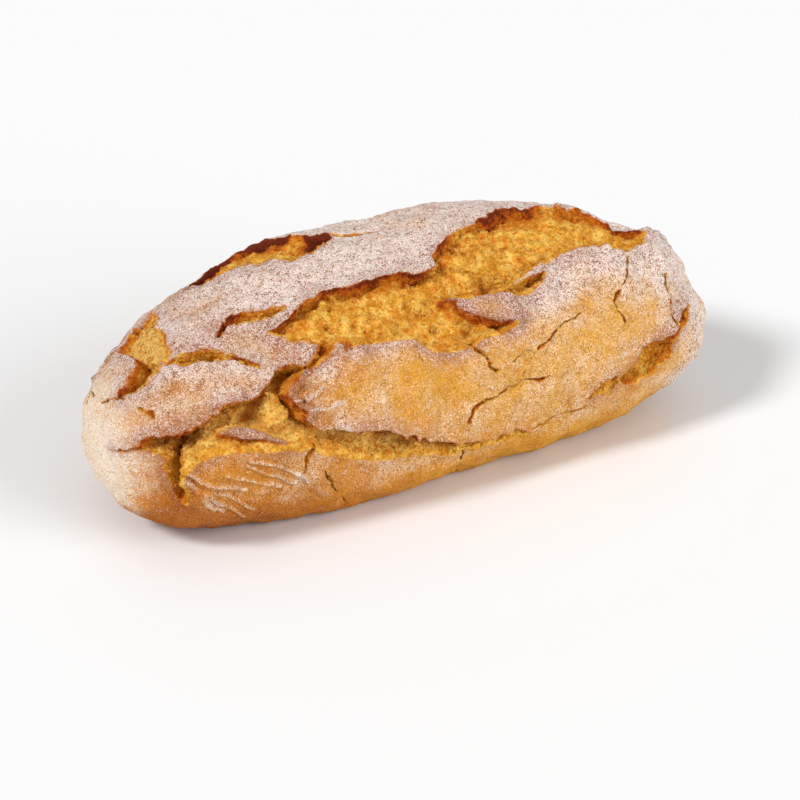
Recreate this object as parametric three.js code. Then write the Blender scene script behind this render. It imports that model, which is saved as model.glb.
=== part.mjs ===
// A cornbread loaf: an oval, floured loaf whose crust tore open in the oven and shows the yellow crumb.
// Millimetres, +Z up. The loaf lies along X with its most torn long side towards -Y, and the origin is
// the middle of its flat base. It is one solid.
//
// A place on the skin is (along, round). Along is the distance on the skin from the middle, negative to
// the left, with a tip of the loaf at each end of its range. Round is an angle in degrees about the
// loaf's length: 0 is the front at the belly, 90 the ridge of the top, 180 the back.
import * as THREE from "three";
import { mergeVertices } from "three/addons/utils/BufferGeometryUtils.js";

// The smooth form of the dough
const LENGTH = 252;
const WIDTH = 114;
const HEIGHT = 84;
const BELLY = 32; // height of the widest line above the base
const UNDERSIDE = 43; // depth of the rounded underside, which the base cuts off flat
const TIP = 150; // skin distance from the middle to a tip
const BEND = 18; // how far both ends swing to the front
const END_TAPER = 0.015; // the right half is this share wider
const CROWN_TAPER = 0.035; // and this share taller
const END_FULLNESS = 2.44; // 2 is an ellipse, more is blunter
const UNDER_FULLNESS = 2.23;
const SPINE = LENGTH / 2 - 45; // half the length of the core line that the skin swells away from

// Splits in the crust. Rows are [along, lower lip round, upper lip round], or where a split runs round the
// loaf, [round, left lip along, right lip along]. Each pair is for the first lip and the second: how deep
// the crumb lies there and how far the crust curls up. The second lip leans over the opening.
const TEARS = [
  {
    // the long opening below the ridge, left half
    rows: [
      [-48, 61, 62], [-43, 53, 63], [-34, 47, 68], [-28, 43, 69], [-19, 41, 67], [-12, 40, 66.5],
      [-9, 38, 66], [-5, 32, 65.5], [2, 30, 64], [8, 30, 66], [11, 32, 66], [18, 32, 60], [24, 36, 46],
    ],
    depths: [2.4, 3.5], lifts: [2.4, 2], lean: 1.1,
  },
  {
    // and right half
    rows: [
      [-2, 38, 61], [7, 36, 66], [8, 36, 72], [21, 48, 82], [29, 52, 87], [45, 58, 93], [60, 62, 93],
      [66, 60, 92], [70, 58.5, 91], [76, 63.5, 88], [82, 72, 84], [84, 75, 79],
    ],
    depths: [4, 2.6], lifts: [1.5, 1.3], lean: 0.7,
  },
  {
    // the gash above the flap at its right end
    rows: [[20, 46, 48], [23, 44, 49], [29, 44, 51], [36, 49, 53], [38, 53, 54]],
    depths: [1.5, 3], lifts: [0.5, 0.8], lean: 0.2,
  },
  {
    // the notch between two plates at its lower left
    rows: [[-41, 40, 41.5], [-38, 39.5, 44], [-35, 41, 48], [-33, 44, 49]],
    depths: [2.5, 2.5], lifts: [0.8, 1], lean: 0,
  },
  {
    // the short split in the top crust
    rows: [
      [-62, 69, 70.5], [-58, 70.5, 75.5], [-55, 69.5, 76.5], [-50, 68, 74.5], [-46, 66.5, 72.5],
      [-42, 67, 71], [-39, 69.5, 70.5],
    ],
    depths: [1.5, 3.5], lifts: [0.2, 0.8], lean: 0.2,
  },
  {
    // the shelf below it
    rows: [
      [-80, 75, 77], [-77, 71, 75.5], [-73, 66.5, 73], [-68, 62.5, 69], [-63, 59, 65.5], [-60, 57, 62],
      [-57.5, 52, 56], [-55, 49, 50],
    ],
    depths: [2, 4], lifts: [0.8, 0.8], lean: 0.4,
  },
  {
    // the opening over the left end
    rows: [
      [-87, 80, 117], [-85, 76, 120], [-80, 77, 120], [-76, 80, 121], [-75, 87, 121], [-73, 99, 122],
      [-68, 119, 121],
    ],
    depths: [4, 1.4], lifts: [1, 0.6], lean: 0,
  },
  {
    // the step at its foot
    rows: [[-105, 83, 85], [-102, 76, 85.5], [-97, 74, 89], [-91, 74, 91], [-86, 76, 96], [-84, 78, 98]],
    depths: [2, 6], lifts: [0.8, 1.8], lean: 0.6,
  },
  {
    // the long opening low on the front
    rows: [
      [-91, 14, 38.5], [-88, 13, 38.5], [-83, 18, 38], [-77, 20, 38], [-69, 18, 40], [-64, 16, 38],
      [-58, 13.5, 36.5], [-56, 12.5, 38.5], [-53, 11.5, 38], [-50, 10, 34], [-48.3, 9.5, 30], [-46, 9, 26],
      [-44, 8, 21], [-41, 5, 16], [-35, 1, 11], [-27, -4, 9], [-12, -9, 0], [-4, -14, -7], [2, -15, -11],
      [22, -17, -14],
    ],
    depths: [4, 8.5], lifts: [1.2, 2], lean: 1,
  },
  {
    // its left tip
    rows: [[-127, 50, 52], [-117, 36, 43], [-108, 31, 41], [-98, 26, 40], [-90, 23, 38.5], [-86, 26, 36]],
    depths: [7, 8.5], lifts: [0.6, 1.8], lean: 0.8,
  },
  {
    // its branch between two plates of crust
    rows: [
      [-57, 34, 38.5], [-55, 33, 39.5], [-52, 32, 42], [-50, 33, 44.5], [-48, 36.5, 45], [-45, 37.5, 44],
      [-43, 39, 42.5], [-41, 40.5, 41.5],
    ],
    depths: [7, 7], lifts: [1, 1], lean: 0,
  },
  {
    // the split that runs round the left end
    runsRound: true,
    rows: [
      [-12, -91, -88.5], [-5, -94, -88.5], [4, -96, -90.5], [13, -98, -90], [20, -97.5, -89.5],
      [28, -98, -88],
    ],
    depths: [8, 10], lifts: [0.3, 1.4], lean: 0,
  },
  {
    // the opening behind the ridge on the left
    rows: [
      [-58, 110, 114], [-50, 103, 124], [-44, 102.5, 127], [-38, 101, 127], [-34, 98, 126], [-28, 91, 125],
      [-22, 91.5, 117], [-17, 93, 106], [-13, 96, 100],
    ],
    depths: [2.5, 3], lifts: [0.6, 0.4], lean: 0,
  },
  {
    // the opening low on the right
    rows: [
      [55, -4, 0], [60, -8, 7], [63, -5.5, 10.5], [67, -1, 12.5], [72, 2, 13.5], [76, 7, 14], [79, 11, 16],
      [84, 17, 22], [88, 21, 25.5], [95, 27, 28.5],
    ],
    depths: [3, 5.5], lifts: [0.8, 1], lean: 0.4,
  },
  {
    // and the gash beside it
    rows: [[42, -7, -5], [45, -6, -2], [49, -7, 1], [53, -5, 2], [55, -1, 1]],
    depths: [2, 3], lifts: [0.5, 0.5], lean: 0.4,
  },
  {
    // the long opening that slants up the back
    rows: [
      [-104, 163, 164], [-96, 158, 168], [-86, 157, 170], [-72, 160, 168], [-60, 158, 171], [-48, 153, 168],
      [-36, 155, 165], [-22, 150, 162], [-8, 151, 159], [6, 145, 156], [20, 141, 157], [34, 140, 150],
      [48, 135, 151], [60, 136, 147], [74, 133, 141], [86, 135, 137],
    ],
    depths: [6, 4.5], lifts: [1.2, 1.2], lean: 0,
  },
  {
    // the short one above it at the left
    rows: [[-97, 138, 139], [-91, 133, 141], [-83, 135, 144], [-76, 139, 141]],
    depths: [3.5, 3], lifts: [0.8, 0.8], lean: 0,
  },
  {
    // low on the back at the right
    rows: [[30, 170, 171], [40, 165, 175], [52, 167, 178], [64, 162, 172], [78, 163, 170], [92, 158, 161]],
    depths: [5, 4], lifts: [1, 1], lean: 0,
  },
];

// Tongues of crust left standing in the openings: how far each stands up, and its rows as for a split
const TONGUES = [
  {
    height: 2,
    rows: [[4, 49.5, 51], [9, 44, 50.5], [12, 40, 49], [17, 36.5, 48.5], [24, 35, 46], [30, 34, 44]],
  },
  { height: 1, rows: [[-73, 25, 28.5], [-67, 21, 27.5], [-60, 17, 22], [-52, 11, 13]] },
];

// Ledges of bare crumb that stand up in the openings: the share of the depth that each takes away, and its
// rows as for a split
const LEDGES = [
  { filled: 0.8, rows: [[-90, 13, 22], [-86, 13, 25], [-80, 17, 25.5], [-75, 18, 25], [-70, 17, 21]] },
  { filled: 0.6, rows: [[-57, 20, 30], [-54, 20, 36], [-51, 21, 33], [-49, 22, 26]] },
];

// Thin cracks, each with its path of [along, round]
const CRACKS = [
  { width: 1.8, depth: 2.5, path: [[69, 58], [65, 51], [62, 45], [59, 39]] },
  { width: 3, depth: 3, path: [[59, 39], [56, 34], [56, 30], [57, 26]] },
  { width: 2.8, depth: 3, path: [[82, 47], [80, 40], [79, 32], [78, 26], [79, 20]] },
  { width: 1.8, depth: 2, path: [[19, 19], [21, 21], [28, 23], [31, 25], [34, 28], [39, 30], [43, 32]] },
  { width: 2.2, depth: 2.5, path: [[3, -2], [5, 3], [9, 6], [14, 8], [16, 10], [24, 10], [29, 9]] },
  { width: 2, depth: 2, path: [[21, 10], [22, 15]] },
  { width: 2.4, depth: 3, path: [[6, 31], [9, 27], [12, 21], [13, 18]] },
  { width: 1.4, depth: 1.5, path: [[-8, 26], [-8, 33]] },
  { width: 2.4, depth: 3, path: [[-41, -6], [-38, -20], [-32, -34]] },
  { width: 2.6, depth: 3, path: [[-45, 10], [-47, 3], [-48, -5]] },
  { width: 2.2, depth: 2.5, path: [[2, -18], [3, -28], [6, -42]] },
  { width: 2.4, depth: 2.5, path: [[-112, 102], [-106, 89], [-102, 78]] },
  { width: 2.8, depth: 2.5, path: [[-98, 62], [-95, 55], [-96, 51]] },
  { width: 1.4, depth: 1.5, path: [[22, -15], [33, -14], [42, -12]] },
  { width: 2.4, depth: 2.5, path: [[-12, 100], [-3, 98], [5, 95]] },
  { width: 2.2, depth: 2.5, path: [[-31, 129], [-27, 136], [-31, 143], [-28, 150]] },
  { width: 2, depth: 2.5, path: [[8, 158], [13, 165], [9, 172], [14, 180]] },
  { width: 2.4, depth: 2.5, path: [[88, 118], [94, 126], [91, 134], [98, 142]] },
  { width: 2.2, depth: 2.5, path: [[-110, 128], [-104, 139], [-108, 150]] },
  { width: 2, depth: 2, path: [[-44, 177], [-30, 183], [-14, 180]] },
];

// Places where the skin swells, or sinks where the height is negative
const SWELLS = [
  { at: [88, 66], reach: 14, height: 3 },
  { at: [-28, 132], reach: 18, height: 1.8 },
  { at: [110, 14], reach: 12, height: 2.5 },
  { at: [97, 40], reach: 11, height: -2.5 },
  { at: [79, 91], reach: 9, height: -4.5 },
  { at: [-32, 46], reach: 3, height: 1.8 },
  { at: [96, 87], reach: 6, height: 2 },
  { at: [-44, 28], reach: 8, height: 1.5 },
  { at: [-80, 0], reach: 16, height: 3 },
  { at: [-99, 0], reach: 10, height: -3.5 },
];

// Hollows in the crumb
const HOLLOWS = [
  { at: [21, 52], reach: 6, height: -3.5 },
  { at: [10, 51], reach: 4.5, height: -2.5 },
  { at: [11, 35], reach: 5, height: -4 },
  { at: [19, 34], reach: 4, height: -3 },
  { at: [-5, 48], reach: 4, height: -1.5 },
  { at: [-92, 24], reach: 6, height: -3 },
  { at: [-88, 31], reach: 6, height: -4 },
  { at: [-104, 34], reach: 5, height: -2 },
  { at: [-69, 37], reach: 5, height: -2 },
  { at: [-60, 28], reach: 3.5, height: -4 },
  { at: [-47, 41], reach: 4, height: -2 },
];

// Relief of the skin: the size and height of each layer of lumps
const LUMPS = [{ size: 34, height: 1.2 }, { size: 13, height: 0.8 }];
const CRUMB_LUMPS = [{ size: 14, height: 1.2 }, { size: 6, height: 0.9 }];
const LIP_WAVES = [{ size: 11, height: 1 }, { size: 4, height: 1.1 }];
const LIP_WAVE_START = -4; // the lips waver from this far outside an opening
const LIP_WAVE_FULL = 1;
const WALL = 3; // how far a torn wall runs before it reaches the crumb
const LIP_REACH = 7; // how far back from a lip the crust curls up
const LEAN_REACH = 5;
const UPPER_SHARE = [0.35, 0.65]; // where across an opening the first lip gives way to the second
const TONGUE_WAVES = 0.4; // share of the lips' waves that a tongue's edge has
const TONGUE_EDGE = [-1.5, 0.5]; // where a tongue rises from the crumb
const TONGUE_TOP = [-0.5, 1.5];
const LEDGE_WAVES = 0.7; // share of the lips' waves that a ledge's edge has
const LEDGE_EDGE = [-1.5, 0.8]; // where a ledge rises from the crumb

// Facets
const FIRST_FACETS = 11; // divisions of each edge of the first icosahedron, less one
const REFINEMENTS = 3;
const FINE_EDGE = 4; // edge length at a lip
const COARSE_EDGE = 8;
const BASE_EDGE = 16;
const BASE_LEVEL = 1; // what is lower than this on the smooth form is part of the base
const EDGE_GROWTH = 0.4; // how fast edges grow away from the lips
const LONG = 1.4; // an edge this many times the wanted length is split
const SETTLE_REACH = 1.3; // how far a corner moves to lie on a lip or a crack
const ON_LIP = 0.3; // a corner this close to a lip lies on it
const ON_CRACK = 0.8;
const CRACK_PROBES = [0.2, 0.35, 0.5, 0.65, 0.8]; // shares of an edge at which a crack may cross it
const LIP_HALVINGS = 6; // how often an edge is halved to find where a lip crosses it
const PROBE = 0.5; // step for finding which way a lip lies
const LEAST_SLOPE = 0.5;
const CHAIN_STEP = 5; // spacing of the points that follow a lip or a crack
const FAR = 24; // distance outside a lip that counts as clear of it
const TINY = 1e-6;

const CRUST_COLOUR = 0xd9a766;
const RIGHT_ANGLE = Math.PI / 2;
const { degToRad, radToDeg, clamp, lerp, smoothstep } = THREE.MathUtils;

// Repeatable noise, from -1 to 1, by blending a scattered value at each corner of a unit grid.
function scattered(i, j, k) {
  const s = Math.sin(i * 127.1 + j * 311.7 + k * 74.7) * 43758.5453;
  return 2 * (s - Math.floor(s)) - 1;
}

function noise(point, size) {
  const [x, y, z] = [point.x / size, point.y / size, point.z / size];
  const [i, j, k] = [Math.floor(x), Math.floor(y), Math.floor(z)];
  const [u, v, w] = [x - i, y - j, z - k].map((t) => t * t * (3 - 2 * t));
  const edge = (b, c) => lerp(scattered(i, j + b, k + c), scattered(i + 1, j + b, k + c), u);
  const face = (c) => lerp(edge(0, c), edge(1, c), v);
  return lerp(face(0), face(1), w);
}

const total = (values) => values.reduce((sum, value) => sum + value, 0);
const layered = (point, layers) => total(layers.map(({ size, height }) => height * noise(point, size)));

// The smooth form's point in a direction from its middle: a blunt oval, bent a little to the front.
function formPoint(direction) {
  const fullness = direction.z > 0 ? 2 : UNDER_FULLNESS;
  const across = Math.abs(direction.y) ** fullness + Math.abs(direction.z) ** fullness;
  const blunt = Math.abs(direction.x) ** END_FULLNESS + across ** (END_FULLNESS / fullness);
  const reach = blunt ** (-1 / END_FULLNESS);
  const share = reach * direction.x;
  const rise = reach * direction.z;
  const crown = (HEIGHT - BELLY) * (1 + CROWN_TAPER * share);
  return new THREE.Vector3(
    (share * LENGTH) / 2,
    ((reach * direction.y * WIDTH) / 2) * (1 + END_TAPER * share) - BEND * share ** 2,
    BELLY + rise * (rise > 0 ? crown : UNDERSIDE),
  );
}

function directionAt(along, round) {
  const turn = (along / TIP) * RIGHT_ANGLE;
  const angle = degToRad(round);
  return new THREE.Vector3(
    Math.sin(turn),
    -Math.cos(turn) * Math.cos(angle),
    Math.cos(turn) * Math.sin(angle),
  );
}

const skinPoint = (along, round) => formPoint(directionAt(along, round));

// The direction whose point on the smooth form lies under a given point near the skin.
function directionOf(point) {
  const share = point.x / (LENGTH / 2);
  const rise = point.z - BELLY;
  const crown = (HEIGHT - BELLY) * (1 + CROWN_TAPER * share);
  return new THREE.Vector3(
    share,
    (point.y + BEND * share ** 2) / ((WIDTH / 2) * (1 + END_TAPER * share)),
    rise / (rise > 0 ? crown : UNDERSIDE),
  ).normalize();
}

function placeOf(direction) {
  const along = (Math.asin(clamp(direction.x, -1, 1)) / RIGHT_ANGLE) * TIP;
  const angle = radToDeg(Math.atan2(direction.z, -direction.y));
  return { along, round: angle < -90 ? angle + 360 : angle };
}

// A path of [along, round] as a chain of points on the skin, close enough together to follow it.
function followed(path) {
  const chain = [];
  path.slice(1).forEach((end, i) => {
    const start = path[i];
    const span = skinPoint(...start).distanceTo(skinPoint(...end));
    const steps = Math.max(1, Math.ceil(span / CHAIN_STEP));
    for (let step = 0; step < steps; step++) {
      chain.push(skinPoint(lerp(start[0], end[0], step / steps), lerp(start[1], end[1], step / steps)));
    }
  });
  return [...chain, skinPoint(...path.at(-1))];
}

function nearestOnChain(point, chain) {
  const [link, candidate, nearest] = [new THREE.Line3(), new THREE.Vector3(), new THREE.Vector3()];
  let least = Infinity;
  for (let i = 1; i < chain.length; i++) {
    link.set(chain[i - 1], chain[i]).closestPointToPoint(point, true, candidate);
    const gap = candidate.distanceToSquared(point);
    if (gap < least) {
      least = gap;
      nearest.copy(candidate);
    }
  }
  return nearest;
}

const chainDistance = (point, chain) => nearestOnChain(point, chain).distanceTo(point);

// The outline of a split or a tongue: its two lips and the two ends that close them.
function outlineOf({ rows, runsRound = false }) {
  const [first, second] = [1, 2].map((lip) =>
    rows.map((row) => (runsRound ? [row[lip], row[0]] : [row[0], row[lip]])),
  );
  const lips = [followed(first), followed(second)];
  const ends = [0, -1].map((end) => followed([first.at(end), second.at(end)]));
  const box = new THREE.Box3().setFromPoints(lips.flat()).expandByScalar(FAR);
  return { rows, runsRound, lips, ends, box };
}

function rowAt(rows, station, column) {
  const next = rows.findIndex((row) => row[0] >= station);
  const [a, b] = [rows[next - 1], rows[next]];
  return lerp(a[column], b[column], (station - a[0]) / (b[0] - a[0]));
}

// How deep inside an outline a place is, in millimetres and negative outside, and the share of the way from
// its first lip to its second.
function insideOutline({ rows, runsRound, lips, ends, box }, point, along, round) {
  if (!box.containsPoint(point)) return { depth: -FAR, share: 0 };
  const [toFirst, toSecond] = lips.map((lip) => chainDistance(point, lip));
  const edge = Math.min(toFirst, toSecond, ...ends.map((end) => chainDistance(point, end)));
  const share = toFirst / Math.max(toFirst + toSecond, TINY);
  const [station, position] = runsRound ? [round, along] : [along, round];
  const inRows = station > rows[0][0] && station < rows.at(-1)[0];
  const within = inRows && position > rowAt(rows, station, 1) && position < rowAt(rows, station, 2);
  return { depth: within ? edge : Math.max(-edge, -FAR), share };
}

const tears = TEARS.map((tear) => ({ ...tear, outline: outlineOf(tear) }));
const tongues = TONGUES.map((tongue) => ({ ...tongue, outline: outlineOf(tongue) }));
const ledges = LEDGES.map((ledge) => ({ ...ledge, outline: outlineOf(ledge) }));
const cracks = CRACKS.map((crack) => ({ ...crack, chain: followed(crack.path) }));
const bumpsOf = (bumps) => bumps.map((bump) => ({ ...bump, centre: skinPoint(...bump.at) }));
const swells = bumpsOf(SWELLS);
const hollows = bumpsOf(HOLLOWS);

function bump(point, { centre, reach, height }) {
  return height * Math.exp(-((point.distanceTo(centre) / reach) ** 2));
}

const bumped = (point, bumps) => total(bumps.map((each) => bump(point, each)));

// What the skin does at a place: how far inside an opening it is, how far it is from a crack, how far it
// rises or sinks, and how far the lip above it leans over the opening.
function reliefAt(direction) {
  const point = formPoint(direction);
  const { along, round } = placeOf(direction);
  const waver = layered(point, LIP_WAVES);
  let [inside, sink, lift, lean] = [-FAR, 0, 0, 0];
  for (const { outline, depths, lifts, lean: fullLean } of tears) {
    const { depth, share } = insideOutline(outline, point, along, round);
    const torn = depth + waver * smoothstep(depth, LIP_WAVE_START, LIP_WAVE_FULL);
    const second = smoothstep(share, ...UPPER_SHARE);
    const outside = Math.min(torn, 0);
    inside = Math.max(inside, torn);
    sink = Math.max(sink, lerp(...depths, share) * smoothstep(torn, 0, WALL));
    lift = Math.max(lift, lerp(...lifts, second) * Math.exp(outside / LIP_REACH));
    if (torn < ON_LIP) lean = Math.max(lean, fullLean * second * Math.exp(outside / LEAN_REACH));
  }
  lift *= 1 - smoothstep(inside, 0, 1);
  for (const { outline, filled } of ledges) {
    const ledge = insideOutline(outline, point, along, round).depth + LEDGE_WAVES * waver;
    sink *= 1 - filled * smoothstep(ledge, ...LEDGE_EDGE);
  }
  for (const { outline, height } of tongues) {
    const tongue = insideOutline(outline, point, along, round).depth + TONGUE_WAVES * waver;
    sink *= 1 - smoothstep(tongue, ...TONGUE_EDGE);
    lift += height * smoothstep(tongue, ...TONGUE_TOP);
    inside = Math.min(inside, -tongue);
  }
  let crack = Infinity;
  for (const { width, depth, chain } of cracks) {
    const gap = chainDistance(point, chain);
    crack = Math.min(crack, gap);
    sink = Math.max(sink, depth * (1 - smoothstep(gap, 0, width)));
  }
  const crumb = smoothstep(inside, 0, WALL) * (layered(point, CRUMB_LUMPS) + bumped(point, hollows));
  const rise = layered(point, LUMPS) + bumped(point, swells) + crumb + lift - sink;
  return { point, along, round, inside, crack, rise, lean };
}

// The finished skin: the form pushed out from its core line by the relief and cut flat at the base.
function skin(direction) {
  const { point, along, round, rise, lean } = reliefAt(direction);
  const core = new THREE.Vector3(clamp(point.x, -SPINE, SPINE), 0, BELLY);
  core.y = -BEND * (point.x / (LENGTH / 2)) ** 2;
  const outward = point.clone().sub(core).normalize();
  const downhill = skinPoint(along, round - 1).sub(point).normalize();
  const made = point.clone().addScaledVector(outward, rise).addScaledVector(downhill, lean);
  made.z = Math.max(made.z, 0);
  return made;
}

// Splits each edge at the place that cutFor gives for it, if any. Both faces of an edge split alike, so the
// surface stays closed.
function split(directions, faces, cutFor) {
  const known = new Map();
  const cutOn = (a, b) => {
    const key = a < b ? `${a},${b}` : `${b},${a}`;
    if (!known.has(key)) {
      const cut = cutFor(a, b);
      if (cut) directions.push(cut);
      known.set(key, cut ? directions.length - 1 : null);
    }
    return known.get(key);
  };
  return faces.flatMap((face) => {
    const cuts = face.map((corner, i) => cutOn(corner, face[(i + 1) % 3]));
    const count = cuts.filter((cut) => cut !== null).length;
    if (count === 0) return [face];
    if (count === 3) {
      const [[a, b, c], [ab, bc, ca]] = [face, cuts];
      return [[a, ab, ca], [ab, b, bc], [ca, bc, c], [ab, bc, ca]];
    }
    // turn the face so that its first edge is cut and, of two cuts, the other is on its second edge
    const turn = count === 1 ? cuts.findIndex((cut) => cut !== null) : (cuts.indexOf(null) + 1) % 3;
    const [a, b, c] = [0, 1, 2].map((i) => face[(turn + i) % 3]);
    const [ab, bc] = [0, 1].map((i) => cuts[(turn + i) % 3]);
    return count === 1 ? [[a, ab, c], [ab, b, c]] : [[a, ab, c], [ab, bc, c], [ab, b, bc]];
  });
}

// Edge length wanted at a place: fine at the lips, coarse on plain crust and on the base.
function wantedEdge(direction) {
  const { point, inside, crack } = reliefAt(direction);
  if (point.z < BASE_LEVEL) return BASE_EDGE;
  const away = Math.max(0, Math.min(Math.abs(inside), crack) - WALL);
  return Math.min(COARSE_EDGE, FINE_EDGE + EDGE_GROWTH * away);
}

function splitLongEdges(directions, faces) {
  const wanted = directions.map(wantedEdge);
  const points = directions.map(formPoint);
  return split(directions, faces, (a, b) => {
    const long = points[a].distanceTo(points[b]) > LONG * Math.min(wanted[a], wanted[b]);
    return long ? directions[a].clone().add(directions[b]).normalize() : null;
  });
}

const nearer = (point) => (a, b) => (a.distanceTo(point) < b.distanceTo(point) ? a : b);

// Moves a corner that is close to a crack onto it, and one that is close to a lip onto the lip.
function settle(direction) {
  const { point, along, round, inside, crack } = reliefAt(direction);
  if (point.z < BASE_LEVEL) return direction;
  if (crack < SETTLE_REACH) {
    return directionOf(cracks.map(({ chain }) => nearestOnChain(point, chain)).reduce(nearer(point)));
  }
  if (Math.abs(inside) > SETTLE_REACH) return direction;
  const steps = [skinPoint(along + PROBE, round).sub(point), skinPoint(along, round + PROBE).sub(point)];
  const slope = new THREE.Vector3();
  for (const step of steps) {
    const change = reliefAt(directionOf(point.clone().add(step))).inside - inside;
    slope.addScaledVector(step, change / step.lengthSq());
  }
  const move = clamp(-inside / Math.max(slope.length(), LEAST_SLOPE), -SETTLE_REACH, SETTLE_REACH);
  return directionOf(point.clone().addScaledVector(slope.normalize(), move));
}

// Splits the edges that cross a lip or a crack where they cross it, so that edges follow both.
function splitAtLips(directions, faces) {
  const reliefs = directions.map(reliefAt);
  return split(directions, faces, (a, b) => {
    let [p, q] = [reliefs[a], reliefs[b]];
    const between = (share) => directionOf(p.point.clone().lerp(q.point, share));
    if (Math.min(p.point.z, q.point.z) < BASE_LEVEL) return null;
    const gap = Math.min(p.crack, q.crack);
    if (gap < p.point.distanceTo(q.point) && gap > ON_LIP) {
      const places = CRACK_PROBES.map(between);
      const gaps = places.map((place) => reliefAt(place).crack);
      const least = Math.min(...gaps);
      if (least < ON_CRACK) return places[gaps.indexOf(least)];
    }
    if (Math.min(Math.abs(p.inside), Math.abs(q.inside)) < ON_LIP || p.inside * q.inside > 0) return null;
    for (let halving = 0; halving < LIP_HALVINGS; halving++) {
      const middle = reliefAt(between(0.5));
      if (middle.inside * p.inside > 0) p = middle;
      else q = middle;
    }
    return between(0.5);
  });
}

function loafGeometry() {
  const ball = new THREE.IcosahedronGeometry(1, FIRST_FACETS);
  ball.deleteAttribute("normal");
  ball.deleteAttribute("uv");
  const merged = mergeVertices(ball);
  const corners = merged.getAttribute("position");
  let directions = Array.from({ length: corners.count }, (_, i) =>
    new THREE.Vector3().fromBufferAttribute(corners, i).normalize(),
  );
  const index = Array.from(merged.index.array);
  let faces = Array.from({ length: index.length / 3 }, (_, i) => index.slice(3 * i, 3 * i + 3));
  for (let pass = 0; pass < REFINEMENTS; pass++) faces = splitLongEdges(directions, faces);
  directions = directions.map(settle);
  faces = splitAtLips(directions, faces);
  const geometry = new THREE.BufferGeometry().setFromPoints(directions.map(skin));
  geometry.setIndex(faces.flat());
  geometry.computeVertexNormals();
  return geometry;
}

const crust = new THREE.MeshStandardMaterial({ color: CRUST_COLOUR, roughness: 0.9, metalness: 0 });
const loaf = new THREE.Mesh(loafGeometry(), crust);
loaf.name = "loaf";

const cornbread = new THREE.Group();
cornbread.add(loaf);

export default cornbread;
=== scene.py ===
"""The look of a cornbread loaf: a floured crust, toasted where it tore open, over yellow crumb.

Lengths are in millimetres until the mesh is made; the frame and the stage are in metres. A place on the
skin is (along, round), as in the solid: along is the distance on the skin from the middle, negative to the
left, and round is the angle in degrees about the loaf's length, 0 at the front, 90 at the ridge and 180 at
the back.
"""
import itertools
import math

import bmesh
import bpy
import numpy as np
from mathutils import Euler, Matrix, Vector


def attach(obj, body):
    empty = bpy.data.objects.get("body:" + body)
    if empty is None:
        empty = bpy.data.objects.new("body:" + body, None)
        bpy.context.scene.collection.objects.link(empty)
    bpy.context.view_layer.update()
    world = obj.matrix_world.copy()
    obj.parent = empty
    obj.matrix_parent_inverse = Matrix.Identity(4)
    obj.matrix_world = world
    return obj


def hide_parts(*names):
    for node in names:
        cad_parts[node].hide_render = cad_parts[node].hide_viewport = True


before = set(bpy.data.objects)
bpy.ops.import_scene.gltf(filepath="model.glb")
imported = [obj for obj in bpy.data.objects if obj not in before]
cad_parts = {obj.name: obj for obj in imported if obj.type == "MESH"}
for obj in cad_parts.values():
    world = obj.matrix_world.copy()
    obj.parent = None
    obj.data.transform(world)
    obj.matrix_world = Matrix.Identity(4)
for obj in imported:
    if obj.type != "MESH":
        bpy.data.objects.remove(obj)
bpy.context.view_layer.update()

MM = 0.001

# The smooth form of the dough, as in the solid
LENGTH = 252
WIDTH = 114
HEIGHT = 84
BELLY = 32  # height of the widest line above the base
UNDERSIDE = 43  # depth of the rounded underside, which the base cuts off
TIP = 150  # skin distance from the middle to a tip
BEND = 18  # how far both ends swing to the front
END_TAPER = 0.015
CROWN_TAPER = 0.035
END_FULLNESS = 2.44
UNDER_FULLNESS = 2.23
SPINE = LENGTH / 2 - 45  # half the length of the core line that the skin swells away from
BASE_ROUNDING = 1.5
BASE_FADE = (-1, 1)  # heights on the smooth form over which the fine relief comes in above the base
BASE_DEPTH = -10  # what is lower than this is flat on the base

# Relief of the skin: size and height of each layer of lumps
LUMPS = [(34, 1.2), (13, 0.8)]
CRUST_LUMPS = [(11, 1.2), (4.6, 0.8), (2.4, 0.45)]
CRUMB_LUMPS = [(12, 2.4), (6, 2.2), (3.2, 1.4), (1.8, 0.6)]
LIP_WAVES = [(15, 1.8), (6, 1.3), (2.6, 1.0), (1.3, 0.5)]
LIP_CRUMBLE = [(4.5, 1.0), (2.2, 0.8)]
CLODS = [(3.4, 1.5), (1.9, 0.7)]  # the clods that a lip breaks into

# Factors that vary over the skin: size of their patches, middle, swing, least and most
WAVE_RANGE = (22, 0.85, 0.9, 0.35, 1.4)
TOAST_RANGE = (9, 0.85, 1.2, 0.2, 1.45)
SINGE_RANGE = (10, 0.9, 0.7, 0.3, 1.3)

# Lips and walls of the openings. A span is a pair of distances inside a lip between which a thing comes in.
UPPER_SHARE = (0.35, 0.65)  # where across an opening the first lip gives way to the second
WAVE_SPAN = (-4, 1)
# where painted light comes in on the crumb of a shaded opening
PAINTED_LIGHT_SPAN = (0, 3)
CURL_SPAN = (0, 1)
OTHER_SPAN = (1, 3)  # how much deeper a place is in another opening, where a lip stops counting
CLOD_SHARE = 1.6  # how clodded a lip is, for how ragged it is
LIP_CRUMBLE_REACH = 2.2
WALL_TOP = -0.2
UPPER_WALL = 1.6  # how far a torn wall runs before it reaches the crumb
LOWER_WALL = 2.8
LIP_REACH = 7  # how far back from a lip the crust curls up
LEAN_REACH = 5
LEAN_END = 4  # how far past the wall's foot the lean fades out
UNDERCUT = 1.7  # how far the wall's foot goes back under the lip, in leans
GROOVE_PLACE = 1.6  # the groove in the crumb along an upper lip
GROOVE_WIDTH = 1.2
GROOVE_DEPTH = 1.0
LIP_ROUNDING = (0.9, 0.4)  # width and drop of a lip's worn edge
LIP_ROUNDING_END = 0.5  # how far inside the lip it ends
TOAST_EDGE = 0.55  # how far a toasted lip runs on to the crust
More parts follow.
